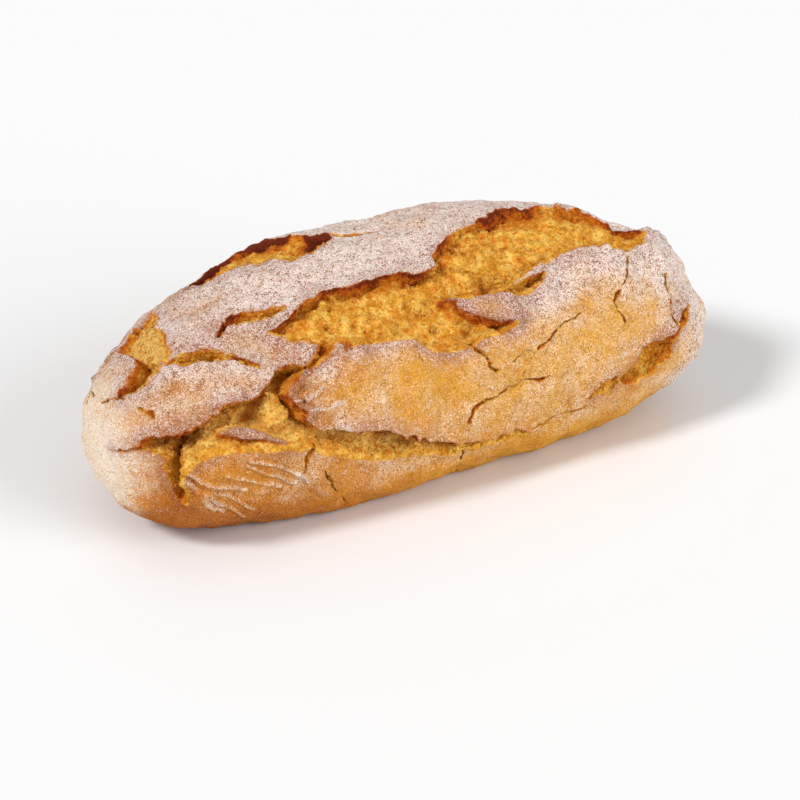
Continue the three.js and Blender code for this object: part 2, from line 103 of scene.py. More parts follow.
RIM_SHARE = 0.4  # how much of the toast is on the rim alone

# Ledges and tongues in the openings
LEDGE_WAVES = 0.7  # share of the lips' waves that a ledge's edge has
LEDGE_EDGE = (-1.5, 0.8)
TONGUE_WAVES = 0.4
TONGUE_EDGE = (-LOWER_WALL / 2, 0.5)
TONGUE_TOP = (-0.5, 1.5)
TONGUE_GROOVE = (-2, 0)
TONGUE_CLEAN = (-0.5, 0.8)
TONGUE_TOAST_AND_SHADE = 2  # how far a tongue's toast, partly painted shade under it, runs on to the crumb
TONGUE_UNDERSIDE = (0.3, 0.7)  # where across a tongue its underside gives way to its upper edge
TONGUE_DEPTH = (0, 1.5)

# Crumb
CLUMP_SIZE = 2.7
CLUMP_HEIGHT = 0.5
CLUMP_CREST = 0.5
CLUMP_STEEPNESS = 1.6
CLOD_CREST = 0.45
PORE_SPACING = 5.2
PORE_DEPTH = 2.2
PORE_CHOICE = (-0.4, 0.8)  # which of the scattered values make a pore, from none to a full one
PORE_WALL = (0.08, 0.4)  # from a pore's floor to its rim, in spacings
LEAST_LUMPS = 0.35  # how lumpy the shallowest crumb is
LUMPY_DEPTH = 6  # depth at which the crumb is fully lumpy
HOLLOW_SPAN = (0, 2)
CRUMB_EDGE = (-0.5, 0.3)  # where the colour of the crust gives way to that of the crumb
CRACK_COLOUR_EDGE = (-0.35, 0.25)
DEEP_SHADE_AND_TOAST = 0.28  # painted shade, with some toast, on the deepest crumb
DEEP_SPAN = (7.5, 14)
# painted shade in the crumb's pores
PORE_SHADE = 0.18
CRACK_TOAST = 0.3

# Places on the crust: along, round, reach
FLAP = (17, 43, 9)
FOLDED_PLATE = (-66, -4, 20)
SHADED_TUCKS = [(1, (-104, -4, 15)), (0.8, (-88, -22, 11))]  # with how much the skin turns in, before each; the crust there is darker, partly its own browning and partly painted shade

# Flour: how much each cause adds or takes away, and where it comes in; the extra flour at the left end is
# partly painted light
FLOUR = {
    "everywhere": 0.27, "top": 0.55, "browner": 0.3, "left": 0.6, "right": 0.5, "lip": 0.25, "crest": 0.32,
    "low": 0.5, "tuck": 0.35, "flap": 0.38, "folded": 0.14,
}
FLOUR_PATCHES = [(16, 0.16), (6, 0.14)]
FLOUR_FACING = (0.35, 0.95)  # how far the skin faces up
FLOUR_LEFT = (88, 128)  # distance from the middle
FLOUR_RIGHT = (62, 104)
FLOUR_LOW = (3, 20)  # height
FLOUR_LIP_FACING = (-0.2, 0.4)
FLOUR_LIP_REACH = 6
FLOUR_BROWNER = (15, 50)
CREST_WAVES = [(3, 0.6)]
CREST_EDGE = (-0.6, 0.6)
SMOOTH_LEFT = (88, 112)
SMOOTH_RIGHT = (88, 118)
SMOOTH_RIGHT_SHARE = 0.7

# Baking, in the same way; near the base at the left it is partly painted shade
BAKE = {"low": 0.1, "low left": 0.45, "top": 0.35, "left": 0.4, "tuck": 0.3, "lip": 0.4, "flap": 0.6}
BAKE_PATCHES = [(12, 0.15)]
BAKE_LOW = (3, 34)
BAKE_LEFT = (-10, 70)
BAKE_FACING = (0.3, 0.9)
BAKE_LIP_REACH = 4
SINGE_FACING = (-0.1, 0.4)
SINGE_LEAST = 0.35
SINGE_REACH = 4.5

# Loose grains of crumb
GRAIN_COUNT = 9000
GRAIN_RADIUS = (0.25, 0.75)
GRAIN_STAND = -0.1  # how far a grain's middle stands out, in radii
GRAIN_BARENESS = 0.8  # how bare the crumb is where they lie
GRAIN_LEVEL = 2  # lowest height
GRAIN_BUMPS = (0.75, 1.2)
GRAIN_STRETCH = (0.7, 1.2)
GRAIN_SEED = 7

# Facets: edge lengths, and how fast they grow with the distance
CRACK_EDGE = 0.5
CRACK_GROWTH = 1.1
FOLD_EDGE = 0.65
FOLD_GROWTH = 0.8
LIP_EDGE = 0.96
LIP_GROWTH = 0.3
LIP_MARGIN = 1  # how far out from a lip the edges start to grow
CRUST_EDGE = 2
BACK = (118, 150)  # round, where the back begins
BACK_COARSENING = 0.9  # how much longer edges may be on the back, as a share
BASE_EDGE = 8
BASE_LEVEL = -1  # what is lower than this on the smooth form is part of the base
FIRST_SUBDIVISIONS = 5
PASSES = 9
LONG = 1.4  # an edge this many times the wanted length is split

FAR = 24  # distance outside a lip that counts as clear of it
CHAIN_STEP = 5  # spacing of the points that follow a lip or a crack
SCATTER_WAVES = (127.1, 311.7, 74.7)  # large and unrelated, so that neighbours get unlike values
SCATTER_STRETCH = 43758.5453
CELL_SHIFTS = (0.2, 0.4, 0.7)  # one for each axis, to scatter a cell's centre
CELL_SPREAD = 0.45  # how far a centre strays, in cells
WARP_SHIFTS = (0, 40, 80)  # one for each axis
TINY = 1e-6  # keeps a division away from zero
TURN = np.array(Euler((0.5, 0.8, 0.3)).to_matrix())  # turns the fine noise off the axes


def smoothstep(x, low, high):
    t = np.clip((x - low) / (high - low), 0, 1)
    return t * t * (3 - 2 * t)


def mixed(a, b, share):
    return a + (b - a) * share


def scattered(i, j, k):
    """A repeatable value from -1 to 1 for each corner of a unit grid."""
    a, b, c = SCATTER_WAVES
    s = np.sin(i * a + j * b + k * c) * SCATTER_STRETCH
    return 2 * (s - np.floor(s)) - 1


def noise(points, size):
    """Smooth noise from -1 to 1 with lumps of about the given size."""
    p = points / size
    corner = np.floor(p)
    u, v, w = smoothstep(p - corner, 0, 1).T
    i, j, k = corner.T

    def edge(b, c):
        return mixed(scattered(i, j + b, k + c), scattered(i + 1, j + b, k + c), u)

    def face(c):
        return mixed(edge(0, c), edge(1, c), v)

    return mixed(face(0), face(1), w)


def octaves(points, layers):
    return sum(height * noise(points, size) for size, height in layers)


def varied(points, size, middle, swing, least, most):
    """A factor that varies over the skin, in patches of the given size."""
    return np.clip(middle + swing * noise(points, size), least, most)


def bell(distance, reach):
    """1 in the middle, falling smoothly to 0 past the reach."""
    return np.exp(-((distance / reach) ** 2))


def cells(points, size):
    """The distance to the nearest of many scattered centres, in units of their spacing, and a repeatable
    value from -1 to 1 for that centre."""
    p = points / size
    corner = np.floor(p)
    nearest = np.full(len(p), np.inf)
    value = np.zeros(len(p))
    for step in itertools.product((-1, 0, 1), repeat=3):
        i, j, k = (corner + step).T
        centre = np.stack([scattered(i + shift, j, k) for shift in CELL_SHIFTS], axis=1)
        away = np.linalg.norm(corner + step + 0.5 + CELL_SPREAD * centre - p, axis=1)
        closer = away < nearest
        nearest = np.where(closer, away, nearest)
        value = np.where(closer, scattered(i, j, k), value)
    return nearest, value


def form_points(directions):
    """The smooth form's points in the given directions from its middle."""
    x, y, z = directions.T
    fullness = np.where(z > 0, 2, UNDER_FULLNESS)
    across = np.abs(y) ** fullness + np.abs(z) ** fullness
    blunt = np.abs(x) ** END_FULLNESS + across ** (END_FULLNESS / fullness)
    reach = blunt ** (-1 / END_FULLNESS)
    share = reach * x
    rise = reach * z
    crown = (HEIGHT - BELLY) * (1 + CROWN_TAPER * share)
    return np.stack(
        [
            share * LENGTH / 2,
            reach * y * WIDTH / 2 * (1 + END_TAPER * share) - BEND * share**2,
            BELLY + rise * np.where(rise > 0, crown, UNDERSIDE),
        ],
        axis=1,
    )


def skin_points(along, round_):
    turn = np.asarray(along, float) / TIP * math.pi / 2
    angle = np.radians(np.asarray(round_, float))
    across = np.cos(turn)
    directions = [np.sin(turn), -across * np.cos(angle), across * np.sin(angle)]
    return form_points(np.stack(directions, axis=1))


def places_of(directions):
    x, y, z = directions.T
    along = np.arcsin(np.clip(x, -1, 1)) / (math.pi / 2) * TIP
    angle = np.degrees(np.arctan2(z, -y))
    return along, np.where(angle < -90, angle + 360, angle)


def followed(line):
    """A path of (along, round) with points close enough together to follow the skin, as points on it."""
    line = np.asarray(line, float)
    chain = skin_points(*line.T)
    steps = np.ceil(np.linalg.norm(np.diff(chain, axis=0), axis=1) / CHAIN_STEP).astype(int)
    links = zip(line, line[1:], np.maximum(steps, 1))
    places = [mixed(a, b, np.arange(n)[:, None] / n) for a, b, n in links]
    return skin_points(*np.concatenate([*places, line[-1:]]).T)


def chain_distance(points, chain):
    nearest = np.full(len(points), np.inf)
    for start, end in zip(chain, chain[1:]):
        line = end - start
        share = np.clip((points - start) @ line / max(line @ line, TINY), 0, 1)
        away = points - start - share[:, None] * line
        nearest = np.minimum(nearest, np.einsum("ij,ij->i", away, away))
    return np.sqrt(nearest)


def near(points, chain, margin):
    """Which points are close enough to a chain to be worth measuring."""
    return np.all((points > chain.min(axis=0) - margin) & (points < chain.max(axis=0) + margin), axis=1)


class Outline:
    """The outline of an opening, a tongue or a ledge: rows of a station and the places of its two lips."""

    def __init__(self, rows, runs="along"):
        self.rows = np.array(rows, float)
        self.runs = runs
        order = [1, 0] if runs == "round" else [0, 1]
        low, high = (self.rows[:, [0, lip]][:, order] for lip in (1, 2))
        self.low, self.high = followed(low), followed(high)
        self.caps = [followed(np.stack([low[end], high[end]])) for end in (0, -1)]

    def measure(self, skin):
        """How deep inside the outline each place of the skin is, in millimetres, negative outside, and the
        share of the way from the first lip to the second."""
        depth = np.full(len(skin.form), -float(FAR))
        share = np.zeros(len(skin.form))
        close = near(skin.form, np.concatenate([self.low, self.high]), FAR)
        points = skin.form[close]
        to_low, to_high = chain_distance(points, self.low), chain_distance(points, self.high)
        edge = np.minimum(to_low, to_high)
        for cap in self.caps:
            edge = np.minimum(edge, chain_distance(points, cap))
        station, position = skin.along[close], skin.round[close]
        if self.runs == "round":
            station, position = position, station
        low, high = (np.interp(station, self.rows[:, 0], self.rows[:, lip]) for lip in (1, 2))
        in_rows = (station > self.rows[0, 0]) & (station < self.rows[-1, 0])
        within = in_rows & (position > low) & (position < high)
        depth[close] = np.where(within, edge, np.maximum(-edge, -FAR))
        share[close] = to_low / np.maximum(to_low + to_high, TINY)
        return depth, share


def around(skin, along, round_, reach):
    """How close each place of the skin is to a given one, from 0 to 1."""
    return bell(np.linalg.norm(skin.form - skin_points([along], [round_]), axis=1), reach)


def tear(
    rows, depths, lifts, toast, bare=(0, 0), lean=0.0, toast_reach=2.2, ragged=(1, 0.6), painted_light=0.0,
    runs="along",
):
    """A split in the crust. Rows are [along, lower lip round, upper lip round], or [round, left lip along,
    right lip along] where it runs round the loaf. Each pair is for the first lip and the second: how deep
    the crumb is there, how far the crust curls up, how toasted it is, how much of it crumbled away and how
    ragged it is. The value for painted light brightens its crumb, as painted light in a shaded opening."""
    return {
        "outline": Outline(rows, runs), "depths": depths, "lifts": lifts, "toast": toast, "bare": bare,
        "lean": lean, "toast_reach": toast_reach, "ragged": ragged, "painted_light": painted_light,
    }


TEARS = [
    # the long opening below the ridge, left half
    tear(
        [
            [-48, 61, 62], [-43, 53, 63], [-34, 47, 68], [-28, 43, 69], [-19, 41, 67], [-12, 40, 66.5],
            [-9, 38, 66], [-5, 32, 65.5], [2, 30, 64], [8, 30, 66], [11, 32, 66], [18, 32, 60], [24, 36, 46],
        ],
        depths=(2.4, 3.5), lifts=(2.4, 2), toast=(0.3, 1.05), bare=(0.8, 0), lean=1.1, toast_reach=3.2,
    ),
    # and right half
    tear(
        [
            [-2, 38, 61], [7, 36, 66], [8, 36, 72], [21, 48, 82], [29, 52, 87], [45, 58, 93], [60, 62, 93],
            [66, 60, 92], [70, 58.5, 91], [76, 63.5, 88], [82, 72, 84], [84, 75, 79],
        ],
        depths=(4, 2.6), lifts=(1.5, 1.3), toast=(0.2, 1.1), lean=0.7, toast_reach=4.5,
    ),
    # the gash above the flap at its right end
    tear(
        [[20, 46, 48], [23, 44, 49], [29, 44, 51], [36, 49, 53], [38, 53, 54]],
        depths=(1.5, 3), lifts=(0.5, 0.8), toast=(0.15, 0.5), lean=0.2,
    ),
    # the notch between two plates at its lower left
    tear(
        [[-41, 40, 41.5], [-38, 39.5, 44], [-35, 41, 48], [-33, 44, 49]],
        depths=(2.5, 2.5), lifts=(0.8, 1), toast=(0.4, 0.5), toast_reach=3, ragged=(1, 1),
    ),
    # the short split in the top crust
    tear(
        [
            [-62, 69, 70.5], [-58, 70.5, 75.5], [-55, 69.5, 76.5], [-50, 68, 74.5], [-46, 66.5, 72.5],
            [-42, 67, 71], [-39, 69.5, 70.5],
        ],
        depths=(1.5, 3.5), lifts=(0.2, 0.8), toast=(0.2, 0.95), lean=0.2, toast_reach=2.5,
    ),
    # the shelf below it
    tear(
        [
            [-80, 75, 77], [-77, 71, 75.5], [-73, 66.5, 73], [-68, 62.5, 69], [-63, 59, 65.5], [-60, 57, 62],
            [-57.5, 52, 56], [-55, 49, 50],
        ],
        depths=(2, 4), lifts=(0.8, 0.8), toast=(0.2, 1), lean=0.4, toast_reach=2.5,
    ),
    # the opening over the left end
    tear(
        [
            [-87, 80, 117], [-85, 76, 120], [-80, 77, 120], [-76, 80, 121], [-75, 87, 121], [-73, 99, 122],
            [-68, 119, 121],
        ],
        depths=(4, 1.4), lifts=(1, 0.6), toast=(0.3, 0.6), toast_reach=3, painted_light=0.4,
    ),
    # the step at its foot
    tear(
        [[-105, 83, 85], [-102, 76, 85.5], [-97, 74, 89], [-91, 74, 91], [-86, 76, 96], [-84, 78, 98]],
        depths=(2, 6), lifts=(0.8, 1.8), toast=(0.2, 0.8), lean=0.6, toast_reach=4,
    ),
    # the long opening low on the front
    tear(
        [
            [-91, 14, 38.5], [-88, 13, 38.5], [-83, 18, 38], [-77, 20, 38], [-69, 18, 40], [-64, 16, 38],
            [-58, 13.5, 36.5], [-56, 12.5, 38.5], [-53, 11.5, 38], [-50, 10, 34], [-48.3, 9.5, 30],
            [-46, 9, 26], [-44, 8, 21], [-41, 5, 16], [-35, 1, 11], [-27, -4, 9], [-12, -9, 0],
            [-4, -14, -7], [2, -15, -11], [22, -17, -14],
        ],
        depths=(4, 8.5), lifts=(1.2, 2), toast=(0.1, 0.7), bare=(2, 0), lean=1, toast_reach=3, ragged=(1, 1),
        painted_light=0.15,
    ),
    # its left tip
    tear(
        [[-127, 50, 52], [-117, 36, 43], [-108, 31, 41], [-98, 26, 40], [-90, 23, 38.5], [-86, 26, 36]],
        depths=(7, 8.5), lifts=(0.6, 1.8), toast=(0.4, 0.8), lean=0.8, toast_reach=4, ragged=(0.7, 1),
        painted_light=0.15,
    ),
    # its branch between two plates of crust
    tear(
        [
            [-57, 34, 38.5], [-55, 33, 39.5], [-52, 32, 42], [-50, 33, 44.5], [-48, 36.5, 45],
            [-45, 37.5, 44], [-43, 39, 42.5], [-41, 40.5, 41.5],
        ],
        depths=(7, 7), lifts=(1, 1), toast=(0.5, 0.7), toast_reach=4,
    ),
    # the split that runs round the left end
    tear(
        [
            [-12, -91, -88.5], [-5, -94, -88.5], [4, -96, -90.5], [13, -98, -90], [20, -97.5, -89.5],
            [28, -98, -88],
        ],
        depths=(8, 10), lifts=(0.3, 1.4), toast=(0.5, 0.3), bare=(0, 1.6), toast_reach=5, runs="round",
    ),
    # the opening behind the ridge on the left
    tear(
        [
            [-58, 110, 114], [-50, 103, 124], [-44, 102.5, 127], [-38, 101, 127], [-34, 98, 126],
            [-28, 91, 125], [-22, 91.5, 117], [-17, 93, 106], [-13, 96, 100],
        ],
        depths=(2.5, 3), lifts=(0.6, 0.4), toast=(0.5, 3.6), toast_reach=4, ragged=(0.5, 0.3),
    ),
    # the opening low on the right
    tear(
        [
            [55, -4, 0], [60, -8, 7], [63, -5.5, 10.5], [67, -1, 12.5], [72, 2, 13.5], [76, 7, 14],
            [79, 11, 16], [84, 17, 22], [88, 21, 25.5], [95, 27, 28.5],
        ],
        depths=(3, 5.5), lifts=(0.8, 1), toast=(0.5, 1), bare=(1, 0), lean=0.4, toast_reach=5,
    ),
    # and the gash beside it
    tear(
        [[42, -7, -5], [45, -6, -2], [49, -7, 1], [53, -5, 2], [55, -1, 1]],
        depths=(2, 3), lifts=(0.5, 0.5), toast=(0.1, 0.2), lean=0.4,
    ),
    # the long opening that slants up the back
    tear(
        [
            [-104, 163, 164], [-96, 158, 168], [-86, 157, 170], [-72, 160, 168], [-60, 158, 171],
            [-48, 153, 168], [-36, 155, 165], [-22, 150, 162], [-8, 151, 159], [6, 145, 156], [20, 141, 157],
            [34, 140, 150], [48, 135, 151], [60, 136, 147], [74, 133, 141], [86, 135, 137],
        ],
        depths=(6, 4.5), lifts=(1.2, 1.2), toast=(0.8, 0.25), toast_reach=3.5, ragged=(0.8, 1),
    ),
    # the short one above it at the left
    tear(
        [[-97, 138, 139], [-91, 133, 141], [-83, 135, 144], [-76, 139, 141]],
        depths=(3.5, 3), lifts=(0.8, 0.8), toast=(0.6, 0.3),
    ),
    # low on the back at the right
    tear(
        [[30, 170, 171], [40, 165, 175], [52, 167, 178], [64, 162, 172], [78, 163, 170], [92, 158, 161]],
        depths=(5, 4), lifts=(1, 1), toast=(0.6, 0.2), ragged=(0.8, 1),
    ),
]

# Tongues of crust left standing in the openings: how far they stand up, how dark their undersides are,
# partly toast and partly painted shade, and rows of [along, lower edge round, upper edge round]
TONGUES = [
    (
        2, 0.7,
        Outline([[4, 49.5, 51], [9, 44, 50.5], [12, 40, 49], [17, 36.5, 48.5], [24, 35, 46], [30, 34, 44]]),
    ),
    (1, 0.6, Outline([[-73, 25, 28.5], [-67, 21, 27.5], [-60, 17, 22], [-52, 11, 13]])),
]

# Ledges of bare crumb that stand up in the openings: the share of the depth that they take away, and the
# same rows
LEDGES = [
    (0.8, Outline([[-90, 13, 22], [-86, 13, 25], [-80, 17, 25.5], [-75, 18, 25], [-70, 17, 21]])),
    (0.6, Outline([[-57, 20, 30], [-54, 20, 36], [-51, 21, 33], [-49, 22, 26]])),
]

# Thin cracks: width, depth and a path of (along, round)
CRACKS = [
    (1.8, 2.5, [(69, 58), (65, 51), (62, 45), (59, 39)]),
    (3, 3, [(59, 39), (56, 34), (56, 30), (57, 26)]),
    (2.8, 3, [(82, 47), (80, 40), (79, 32), (78, 26), (79, 20)]),
    (1.8, 2, [(19, 19), (21, 21), (28, 23), (31, 25), (34, 28), (39, 30), (43, 32)]),
    (2.2, 2.5, [(3, -2), (5, 3), (9, 6), (14, 8), (16, 10), (20, 10), (24, 10), (29, 9)]),
    (2, 2, [(21, 10), (22, 15)]),
    (2.4, 3, [(6, 31), (9, 27), (12, 21), (13, 18)]),
    (1.4, 1.5, [(-8, 26), (-8, 33)]),
    (2.4, 3, [(-41, -6), (-38, -20), (-32, -34)]),
    (2.6, 3, [(-45, 10), (-47, 3), (-48, -5)]),
    (2.2, 2.5, [(2, -18), (3, -28), (6, -42)]),
    (2.4, 2.5, [(-112, 102), (-106, 89), (-102, 78)]),
    (2.8, 2.5, [(-98, 62), (-95, 55), (-96, 51)]),
    (1.4, 1.5, [(22, -15), (33, -14), (42, -12)]),
    (2.4, 2.5, [(-12, 100), (-3, 98), (5, 95)]),
    (2.2, 2.5, [(-31, 129), (-27, 136), (-31, 143), (-28, 150)]),
    (2, 2.5, [(8, 158), (13, 165), (9, 172), (14, 180)]),
    (2.4, 2.5, [(88, 118), (94, 126), (91, 134), (98, 142)]),
    (2.2, 2.5, [(-110, 128), (-104, 139), (-108, 150)]),
    (2, 2, [(-44, 177), (-30, 183), (-14, 180)]),
]
CRACK_NARROWING = 0.2  # a crack's half width, as a share of its width in the solid
CRACK_SHALLOWING = 0.8  # its depth, in the same way
CRACK_WARP = [(5, 1.4), (2.2, 0.5), (1.1, 0.35)]  # size and amount of a crack's zigzag
CRACK_UNEVENNESS = [(6, 1.1), (2, 0.7)]  # and of the changes of its width
CRACK_WIDTHS = (0.4, 2.1)  # least and most, as shares of its width
CRACK_FLOOR = 0.1  # share of the half width that is at full depth
CRACK_MARGIN = 6  # how far out from a crack is worth measuring

# Stretched folds on the low front plate: width, height and a path of (along, round)
FOLDS = [
    (0.8, 1.3, [(-88, 12), (-82, 4), (-77, -1), (-73, -4), (-66, -8)]),
    (0.7, 1.0, [(-66, 7), (-60, 0), (-54, -6), (-50, -9)]),
    (0.7, 1.0, [(-65, 9), (-57, 4), (-49, -5), (-46, -10)]),
    (0.7, 0.9, [(-73, 4), (-68, 0), (-62, -5), (-55, -10)]),
    (0.6, 0.9, [(-81, -4), (-76, -13), (-70, -21), (-64, -29)]),
    (0.6, 0.8, [(-84, -2), (-80, -12), (-76, -20)]),
    (0.6, 0.8, [(-76, -6), (-68, -15), (-61, -26)]),
    (0.6, 0.8, [(-87, 4), (-82, -4), (-78, -14), (-73, -22)]),
    (0.7, 0.9, [(-49, 30), (-45, 29), (-39, 31)]),
    (0.6, 0.7, [(-45, 25), (-40, 23), (-34, 23)]),
]
FOLD_WARP = [(6, 0.9)]  # size and amount of a fold's waver
FOLD_MARGIN = 5  # how far out from a fold is worth measuring, in widths
VALLEY_PLACE = 1.9  # the valley beside a fold, in widths
VALLEY_DEPTH = 0.5  # as a share of the fold's height

# Places where the skin swells or sinks: along, round, reach, height
SWELLS = [
    (88, 66, 14, 3),
    (-28, 132, 18, 1.8),
    (110, 14, 12, 2.5),
    (97, 40, 11, -2.5),
    (79, 91, 9, -4.5),
    (-32, 46, 3, 1.8),
    (96, 87, 6, 2),
    (-44, 28, 8, 1.5),
    (-80, 0, 16, 3),
    (-99, 0, 10, -3.5),
]

# Crags, where the crust broke up and scorched: along, round, reach, roughness, toast
CRAGS = [
    (-46, 37, 4.5, 2.6, 0.6),
    (-46, 29, 4.5, 2.4, 0.4),
    (-41, 39, 4, 2.2, 0.5),
    (-36, 45, 3, 2.2, 0.8),
    (-30, 42.5, 3.5, 1.8, 0.5),
    (6, 48, 4, 1.6, 0.6),
    (88, 77, 5, 2.2, 0.35),
    (97, 78, 5, 2, 0.2),
]

# Hollows in the crumb: along, round, reach, depth
HOLLOWS = [
    (21, 52, 6, 3.5),
    (10, 51, 4.5, 2.5),
    (11, 35, 5, 4),
    (19, 34, 4, 3),
    (-5, 48, 4, 1.5),
    (-92, 24, 6, 3),
    (-88, 31, 6, 4),
    (-104, 34, 5, 2),
    (-69, 37, 5, 2),
    (-60, 28, 3.5, 4),
    (-47, 41, 4, 2),
]


class Skin:
    """The torn skin at a set of directions: where each place is, and what the crust does there."""

    def __init__(self, directions):
        self.form = form_points(directions)
        self.along, self.round = places_of(directions)
        downhill = skin_points(self.along, self.round - 1) - self.form
        self.downhill = downhill / np.maximum(np.linalg.norm(downhill, axis=1), TINY)[:, None]
        share = self.form[:, 0] / (LENGTH / 2)
        core = [np.clip(self.form[:, 0], -SPINE, SPINE), -BEND * share**2, np.full(len(share), BELLY)]
        outward = self.form - np.stack(core, axis=1)
        self.outward = outward / np.linalg.norm(outward, axis=1)[:, None]
        self.open_up()
        self.crack_open()
        self.swell_up()

    def open_up(self):
        """Opens the splits, with lips that curl, lean, crumble and toast."""
        waver = octaves(self.form, LIP_WAVES) * varied(self.form, *WAVE_RANGE)
        none = np.zeros(len(self.form))
        self.inside, self.torn = none - FAR, none - FAR
        self.sink, self.lift, self.lean, self.toast, self.groove = (none.copy() for _ in range(5))
        self.clodded, self.painted_light = none.copy(), none.copy()
        bands = []
        for t in TEARS:
            depth, share = t["outline"].measure(self)
            second = smoothstep(share, *UPPER_SHARE)
            ragged = mixed(*t["ragged"], second)
            torn = depth + ragged * waver * smoothstep(depth, *WAVE_SPAN)
            outside = np.minimum(torn, 0)
            clodded = np.minimum(1, CLOD_SHARE * ragged) * bell(torn, LIP_CRUMBLE_REACH)
            self.clodded = np.maximum(self.clodded, clodded)
            # painted light on the crumb of shaded openings
            self.painted_light = np.maximum(self.painted_light, t["painted_light"] * smoothstep(torn, *PAINTED_LIGHT_SPAN))
            wall = mixed(LOWER_WALL, UPPER_WALL, second)
            self.inside = np.maximum(self.inside, torn)
            self.torn = np.maximum(self.torn, torn + mixed(*t["bare"], second))
            self.sink = np.maximum(self.sink, mixed(*t["depths"], share) * smoothstep(torn, WALL_TOP, wall))
            self.lift = np.maximum(self.lift, mixed(*t["lifts"], second) * np.exp(outside / LIP_REACH))
            back = 1 - UNDERCUT * smoothstep(torn, 0, wall)
            lean = t["lean"] * second * back * np.exp(outside / LEAN_REACH)
            self.lean += lean * (1 - smoothstep(torn, wall, wall + LEAN_END))
            bands.append((torn, mixed(*t["toast"], second), t["toast_reach"], second))
        self.toast_lips(bands)
        self.lift *= 1 - smoothstep(self.inside, *CURL_SPAN)
        self.stand_up(waver)
        for along, round_, reach, roughness, toast in CRAGS:
            crag = around(self, along, round_, reach)
            self.clodded = np.maximum(self.clodded, roughness * crag)
            self.toast = np.maximum(self.toast, toast * crag)

    def toast_lips(self, bands):
        """Toasts the lips and grooves the crumb along the upper ones."""
        uneven = varied(self.form, *TOAST_RANGE)
        for torn, toast, reach, second in bands:
            own = 1 - smoothstep(self.inside - torn, *OTHER_SPAN)
            rim = bell(torn, TOAST_EDGE)
            faded = np.exp(-np.maximum(torn, 0) / reach) * smoothstep(torn, -TOAST_EDGE, 0)
            self.toast = np.maximum(self.toast, own * toast * uneven * mixed(faded, rim, RIM_SHARE))
            groove = own * second * GROOVE_DEPTH * bell(torn - GROOVE_PLACE, GROOVE_WIDTH)
            self.groove = np.maximum(self.groove, groove)

    def stand_up(self, waver):
        """Leaves the ledges and the tongues standing in the openings."""
        for filled, outline in LEDGES:
            ledge, _ = outline.measure(self)
            self.sink *= 1 - filled * smoothstep(ledge + LEDGE_WAVES * waver, *LEDGE_EDGE)
        for height, toast, outline in TONGUES:
            tongue, share = outline.measure(self)
            tongue = tongue + TONGUE_WAVES * waver
            underside = smoothstep(self.inside, *TONGUE_DEPTH) * (1 - smoothstep(share, *TONGUE_UNDERSIDE))
            self.sink *= 1 - smoothstep(tongue, *TONGUE_EDGE)
            self.lift += height * smoothstep(tongue, *TONGUE_TOP)
            self.groove *= 1 - smoothstep(tongue, *TONGUE_GROOVE)
            self.inside = np.minimum(self.inside, -tongue)
            self.torn = np.minimum(self.torn, -tongue)
            # toast and painted shade along a tongue's underside and on the crumb just below it
            band = bell(tongue, np.where(tongue < 0, TONGUE_TOAST_AND_SHADE, TOAST_EDGE))
            self.toast *= 1 - smoothstep(tongue, *TONGUE_CLEAN)
            self.toast = np.maximum(self.toast, toast * underside * band)

    def sideways(self, layers):
        """A waver along the skin, for lines on it."""
        warp = np.stack([octaves(self.form + shift, layers) for shift in WARP_SHIFTS], axis=1)
        return warp - np.einsum("ij,ij->i", warp, self.outward)[:, None] * self.outward

    def crack_open(self):
        """Cuts the thin cracks."""
        warp = self.sideways(CRACK_WARP)
        self.crack = np.full(len(self.form), float(FAR))
        for width, depth, path in CRACKS:
            chain = followed(path)
            close = near(self.form, chain, CRACK_MARGIN)
            gap = chain_distance(self.form[close] + warp[close], chain)
            uneven = np.clip(1 + octaves(self.form[close], CRACK_UNEVENNESS), *CRACK_WIDTHS)
            half = CRACK_NARROWING * width * uneven
            self.crack[close] = np.minimum(self.crack[close], gap - half)
            groove = CRACK_SHALLOWING * depth * (1 - smoothstep(gap, CRACK_FLOOR * half, half))
            self.sink[close] = np.maximum(self.sink[close], groove)

    def swell_up(self):
        """Adds the swells and folds of the crust, and the hollows and grooves of the crumb."""
        self.swell = octaves(self.form, LUMPS)
        self.fold = np.full(len(self.form), float(FAR))
        warp = self.sideways(FOLD_WARP)
        for along, round_, reach, height in SWELLS:
            self.swell += height * around(self, along, round_, reach)
        for width, height, path in FOLDS:
            chain = followed(path)
            close = near(self.form, chain, FOLD_MARGIN * width)
            gap = chain_distance(self.form[close] + warp[close], chain)
            valley = VALLEY_DEPTH * bell(gap - VALLEY_PLACE * width, width)
            self.swell[close] += height * (bell(gap, width) - valley)
            self.fold[close] = np.minimum(self.fold[close], gap - width)
        crumb = smoothstep(self.inside, *HOLLOW_SPAN)
        for along, round_, reach, depth in HOLLOWS:
            self.sink += crumb * depth * around(self, along, round_, reach)
        self.sink += self.groove

    def points(self, fine=0):
        """The skin pushed out from its core line by the relief, with any fine relief, over the base."""
        width, drop = LIP_ROUNDING
        worn = drop * smoothstep(self.inside, -width, 0) * (1 - smoothstep(self.inside, 0, LIP_ROUNDING_END))
        rise = self.swell + self.lift - worn - self.sink + fine
        made = self.form + self.outward * rise[:, None] + self.downhill * self.lean[:, None]
        z = made[:, 2]
        made[:, 2] = np.where(z > BASE_DEPTH, (z + np.hypot(z, BASE_ROUNDING)) / 2, 0)
        return made

    def wanted_edge(self):
        """How long the facets' edges may be at each place."""
        edge = np.minimum(CRUST_EDGE, LIP_EDGE + LIP_GROWTH * np.maximum(0, -self.inside - LIP_MARGIN))
        edge = np.minimum(edge, CRACK_EDGE + CRACK_GROWTH * np.maximum(0, self.crack))
        edge = np.minimum(edge, FOLD_EDGE + FOLD_GROWTH * np.maximum(0, self.fold))
        edge *= 1 + BACK_COARSENING * smoothstep(self.round, *BACK)
        return np.where(self.form[:, 2] < BASE_LEVEL, BASE_EDGE, edge)


